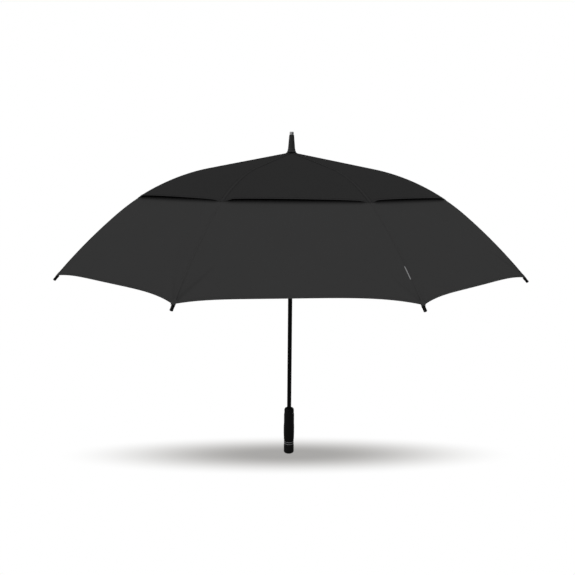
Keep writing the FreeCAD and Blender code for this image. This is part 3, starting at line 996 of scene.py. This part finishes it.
def grip_outline():
    """The grip's side: a slim neck, a thicker palm, grooves at the throat and a domed top."""
    side = [(0.0142, NECK_START), (0.0142, 0.0422), (0.0152, 0.0430), (0.0166, 0.0455), (0.0170, 0.0560),
            (0.0173, 0.0660), (0.0173, 0.0920), (0.0167, 0.1040), (0.0167, 0.1325), (0.0159, 0.1385)]
    for groove in range(GROOVES):
        start = GROOVE_START + groove * GROOVE_PITCH
        side += [(radius, start + height) for radius, height in GROOVE_SHAPE]
    return side + [(0.0157, 0.1505), (0.0142, 0.1538), (0.0110, 0.1558), (0.0088, 0.1565), (0.0064, 0.1565)]


KNURL_LOW = 0.003
KNURL_LOW_FADE = 0.004
KNURL_HIGH = 0.0275
KNURL_HIGH_FADE = 0.003
KNURL_STARTS = 16
KNURL_CLIMB = 0.0155
KNURL_DEPTH = 0.00055


def knurl(angle, height):
    """Crossed helical ridges round the end cap's side, fading out at its ends."""
    low_fade = rise((height - KNURL_LOW) / KNURL_LOW_FADE, 1.0)
    high_fade = rise((KNURL_HIGH - height) / KNURL_HIGH_FADE, 1.0)
    climb = height / KNURL_CLIMB
    ridges = sum(abs(math.sin(KNURL_STARTS * (angle + way * climb))) for way in (1, -1))
    return -KNURL_DEPTH * low_fade * high_fade * (1.0 - 0.5 * ridges)


CAP_FACE_RADIUS = 0.0128
CAP_FACE = [(0.0, 0.0006), (0.0100, 0.0004), (CAP_FACE_RADIUS, 0.0)]
CAP_TOP = [(0.0165, 0.0272), (0.0160, 0.0286), (0.0150, NECK_START), (0.006, NECK_START)]
CAP_RADIUS = 0.0167
CAP_CORNER_HEIGHT = 0.0048
CAP_CORNER_STEPS = 8
CAP_SIDE_STEPS = 35
CAP_SIDE_STEP = 0.0006


def end_cap_outline():
    """The end cap's side: a slightly hollow face, a round corner and a straight side in small steps."""
    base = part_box("end_cap")[0][2]
    outline = [(radius, base + height) for radius, height in CAP_FACE]
    for n in range(1, CAP_CORNER_STEPS + 1):
        turn = n / CAP_CORNER_STEPS * math.pi / 2
        outline.append((CAP_FACE_RADIUS + (CAP_RADIUS - CAP_FACE_RADIUS) * math.sin(turn),
                        base + CAP_CORNER_HEIGHT * (1 - math.cos(turn))))
    for n in range(1, CAP_SIDE_STEPS + 1):
        outline.append((CAP_RADIUS, base + CAP_CORNER_HEIGHT + CAP_SIDE_STEP * n))
    return outline + CAP_TOP


RING_HEIGHTS = {"low": 0.0310, "high": 0.0380}
RING_RADIUS = 0.0163
RING_BORE = 0.0141
RING_WIDTH = 0.0034
RING_ROUND = 0.0008


def trim_ring(name, low):
    """A bright ring round the grip's neck, from a height up."""
    high = low + RING_WIDTH
    side = [(RING_BORE, low), (RING_RADIUS, low), (RING_RADIUS, high), (RING_BORE, high)]
    return lathe(f"trim_ring_{name}", rounded(side, RING_ROUND), ring_metal)


grip = lathe("grip_sleeve", rounded(grip_outline(), GRIP_ROUND, 3), rubber, wave=swell)
end_cap = lathe("knurled_end_cap", end_cap_outline(), knurl_plastic, 256, knurl)
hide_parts("grip")
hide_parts("end_cap")
trim = join("bright_trim_rings", [trim_ring(name, low) for name, low in RING_HEIGHTS.items()])
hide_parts("trim_rings")

# ---- Finial ----

FINIAL_BORE = 0.0063
FERRULE_FOOT = 0.9772
METAL_BORE = 0.0031
METAL_FOOT = 1.0290
# The outlines' pairs of radius and height, from the bore outwards and up
ROSETTE_SIDE = [(FINIAL_BORE, 0.9762), (0.0168, 0.9742), (0.0168, 0.9762), (0.0160, 0.9768),
                (0.0138, FERRULE_FOOT), (FINIAL_BORE, FERRULE_FOOT)]
FERRULE_SIDE = [(FINIAL_BORE, FERRULE_FOOT), (0.0137, FERRULE_FOOT), (0.0138, 0.9794), (0.0122, 0.9822),
                (0.0117, 0.9848), (0.0116, 0.9868), (0.0109, 0.9876), (0.0075, 1.0278),
                (0.0072, METAL_FOOT), (METAL_BORE, METAL_FOOT)]
METAL_SIDE = [(METAL_BORE, METAL_FOOT), (0.0062, METAL_FOOT), (0.0062, 1.0302), (0.0059, 1.0306),
              (0.0062, 1.0312), (0.0061, 1.0368), (0.0052, 1.0385), (0.0, 1.0387)]
ROSETTE_ROUND = 0.0004
FERRULE_ROUND = 0.0006
METAL_ROUND = 0.0005

rosette = lathe("rosette_washer", rounded(ROSETTE_SIDE, ROSETTE_ROUND), rosette_plastic)
ferrule = lathe("ferrule_cone", rounded(FERRULE_SIDE, FERRULE_ROUND), ferrule_plastic)
finial_cap = lathe("ferrule_metal_end", rounded(METAL_SIDE, METAL_ROUND), cap_metal, 64)
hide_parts("rosette")
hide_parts("ferrule")
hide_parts("ferrule_cap")

# ---- Shaft ----

# The coat's thickness
PAINT = 0.0006


def coated_shaft():
    """The CAD tube under its black coat, which makes it as thick as the photo shows."""
    tube = frame["nodes"]["shaft_tube"]
    low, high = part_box("shaft_tube")
    bare = (high[0] - low[0]) / 2
    grown = (bare + PAINT) / bare
    mesh = tube.data.copy()
    mesh.transform(Matrix.Diagonal((grown, grown, 1, 1)) @ tube.matrix_world)
    mesh.materials.clear()
    piece = new_object("coated_shaft", mesh, shaft_coat)
    mesh.set_sharp_from_angle(angle=SHARP_ANGLE)
    return piece


shaft = coated_shaft()
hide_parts("shaft_tube")

for piece in (grip, end_cap, trim, rosette, ferrule, finial_cap, shaft):
    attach(piece, "frame")

# ---- CAD nodes that show as they are ----

finishes = {"crown": black_plastic, "runner": black_plastic, "catch_pins": spring_steel,
            "top_catch": spring_steel, "bottom_catch": spring_steel}
finishes.update({f"stretcher_{k}": stretcher_coat for k in range(1, PANELS + 1)})
for name, material in finishes.items():
    node = frame["nodes"][name]
    node.data.materials.clear()
    node.data.materials.append(material)

# ---- Floor, light and camera ----

FLOOR_REACH = 12.0
FLOOR_GAP = 0.0004
SHADOW_HALF_WIDTH = 0.69
SHADOW_HALF_DEPTH = 0.132
SHADOW_FORWARD = 0.016
SHADOW_DARKNESS = 0.605
SHADOW_TINT = (1.0, 0.985, 0.965)
# Where the shadow starts and where it is full, in shares of its half width and depth
SHADOW_EDGE = 1.12
SHADOW_CORE = 0.14
FLOOR_BOUNCE = 0.5


def floor_material():
    """A white studio floor that fades to the background, with one long soft shadow under the handle."""
    material = bpy.data.materials.new("studio_floor")
    graph = Graph(material)
    graph.nodes.clear()
    place = graph.add("ShaderNodeNewGeometry").outputs["Position"]
    parts = graph.add("ShaderNodeSeparateXYZ")
    graph.join(place, parts.inputs[0])
    along = graph.math("POWER", graph.math("DIVIDE", parts.outputs[0], SHADOW_HALF_WIDTH), 2.0)
    ahead = graph.math("ADD", parts.outputs[1], SHADOW_FORWARD)
    deep = graph.math("POWER", graph.math("DIVIDE", ahead, SHADOW_HALF_DEPTH), 2.0)
    distance = graph.math("SQRT", graph.math("ADD", along, deep))
    shade = graph.ramp(distance, SHADOW_EDGE, SHADOW_CORE)
    white = graph.math("SUBTRACT", 1.0, graph.math("MULTIPLY", shade, SHADOW_DARKNESS))
    path = graph.add("ShaderNodeLightPath")
    seen = graph.add("ShaderNodeEmission")
    graph.join(graph.blend(shade, (1, 1, 1), SHADOW_TINT), seen.inputs["Color"])
    graph.join(white, seen.inputs["Strength"])
    bounced = graph.add("ShaderNodeEmission")
    graph.join(graph.math("MULTIPLY", white, FLOOR_BOUNCE), bounced.inputs["Strength"])
    shown = graph.pick(path.outputs["Is Camera Ray"], bounced.outputs[0], seen.outputs[0])
    output = graph.add("ShaderNodeOutputMaterial")
    graph.join(shown, output.inputs["Surface"])
    return material


def studio_floor():
    """A flat white floor just under the umbrella's foot."""
    mesh = bpy.data.meshes.new("floor")
    level = cad_box[0][2] - FLOOR_GAP
    corners = [(x * FLOOR_REACH, y * FLOOR_REACH, level) for x, y in ((-1, -1), (1, -1), (1, 1), (-1, 1))]
    mesh.from_pydata(corners, [], [(0, 1, 2, 3)])
    floor = new_object("floor", mesh, floor_material())


# The dome's strength below, above, towards the camera and behind the umbrella
DOME_BELOW = 1.04
DOME_ABOVE = 0.86
DOME_NEAR = 1.03
DOME_FAR = 0.95
# The large soft light that glossy surfaces mirror stands to the camera's left
SOFTBOX_ANGLE = math.radians(62)
SOFTBOX_EDGE = 0.25
SOFTBOX_CORE = -0.95
SOFTBOX_DARK = 0.12
SOFTBOX_BRIGHT = 1.2
# The soft light overhead
OVERHEAD_EDGE = 0.35
OVERHEAD_CORE = 0.8
OVERHEAD_BRIGHT = 1.2


def studio_world():
    """White to the camera, an even dome for matt surfaces, and soft lights for glossy ones."""
    world = bpy.data.worlds.new("studio")
    bpy.context.scene.world = world
    graph = Graph(world)
    graph.nodes.clear()
    direction = graph.add("ShaderNodeTexCoord").outputs["Generated"]
    parts = graph.add("ShaderNodeSeparateXYZ")
    graph.join(direction, parts.inputs[0])
    x, y, z = parts.outputs
    height = graph.ramp(z, 0.0, 1.0, DOME_BELOW, DOME_ABOVE, smooth=False)
    front = graph.ramp(y, -1.0, 1.0, DOME_NEAR, DOME_FAR, smooth=False)
    dome = graph.math("MULTIPLY", height, front)
    sideways = graph.math("MULTIPLY", x, math.sin(SOFTBOX_ANGLE))
    forward = graph.math("MULTIPLY", y, math.cos(SOFTBOX_ANGLE))
    turned = graph.math("ADD", sideways, forward)
    softbox = graph.ramp(turned, SOFTBOX_EDGE, SOFTBOX_CORE, SOFTBOX_DARK, SOFTBOX_BRIGHT)
    overhead = graph.ramp(z, OVERHEAD_EDGE, OVERHEAD_CORE, 0.0, OVERHEAD_BRIGHT)
    glossy = graph.math("ADD", softbox, overhead)
    path = graph.add("ShaderNodeLightPath")
    looks = []
    for strength in (dome, glossy, 1.0):
        background = graph.add("ShaderNodeBackground")
        background.inputs["Color"].default_value = (1, 1, 1, 1)
        if isinstance(strength, float):
            background.inputs["Strength"].default_value = strength
        else:
            graph.join(strength, background.inputs["Strength"])
        looks.append(background.outputs[0])
    shown = looks[0]
    for ray, look in (("Is Glossy Ray", looks[1]), ("Is Camera Ray", looks[2])):
        shown = graph.pick(path.outputs[ray], shown, look)
    output = graph.add("ShaderNodeOutputWorld")
    graph.join(shown, output.inputs["Surface"])


CAMERA_DISTANCE = 1.8632
CAMERA_HEIGHT = 0.8920
CAMERA_AROUND = 0.0292
CAMERA_HEADING = 0.0245
CAMERA_PITCH = 0.1773
CAMERA_ROLL = 0.0085
CAMERA_LENS = 37.30


def main_camera():
    """The photo's view, from the front: the camera looks slightly down and is turned a little."""
    data = bpy.data.cameras.new("camera")
    data.lens = CAMERA_LENS
    data.sensor_width = 36.0
    camera = bpy.data.objects.new("camera", data)
    bpy.context.collection.objects.link(camera)
    level = Vector((math.sin(CAMERA_HEADING), math.cos(CAMERA_HEADING), 0))
    forward = level * math.cos(CAMERA_PITCH) - Vector((0, 0, math.sin(CAMERA_PITCH)))
    right = forward.cross(Vector((0, 0, 1))).normalized()
    up = right.cross(forward)
    across = right * math.cos(CAMERA_ROLL) + up * math.sin(CAMERA_ROLL)
    above = up * math.cos(CAMERA_ROLL) - right * math.sin(CAMERA_ROLL)
    camera.matrix_world = Matrix((across, above, -forward)).transposed().to_4x4()
    camera.location = (-CAMERA_DISTANCE * math.sin(CAMERA_AROUND), -CAMERA_DISTANCE * math.cos(CAMERA_AROUND),
                       CAMERA_HEIGHT)
    bpy.context.scene.camera = camera


studio_floor()
studio_world()
main_camera()
bpy.context.scene.view_settings.view_transform = "Standard"
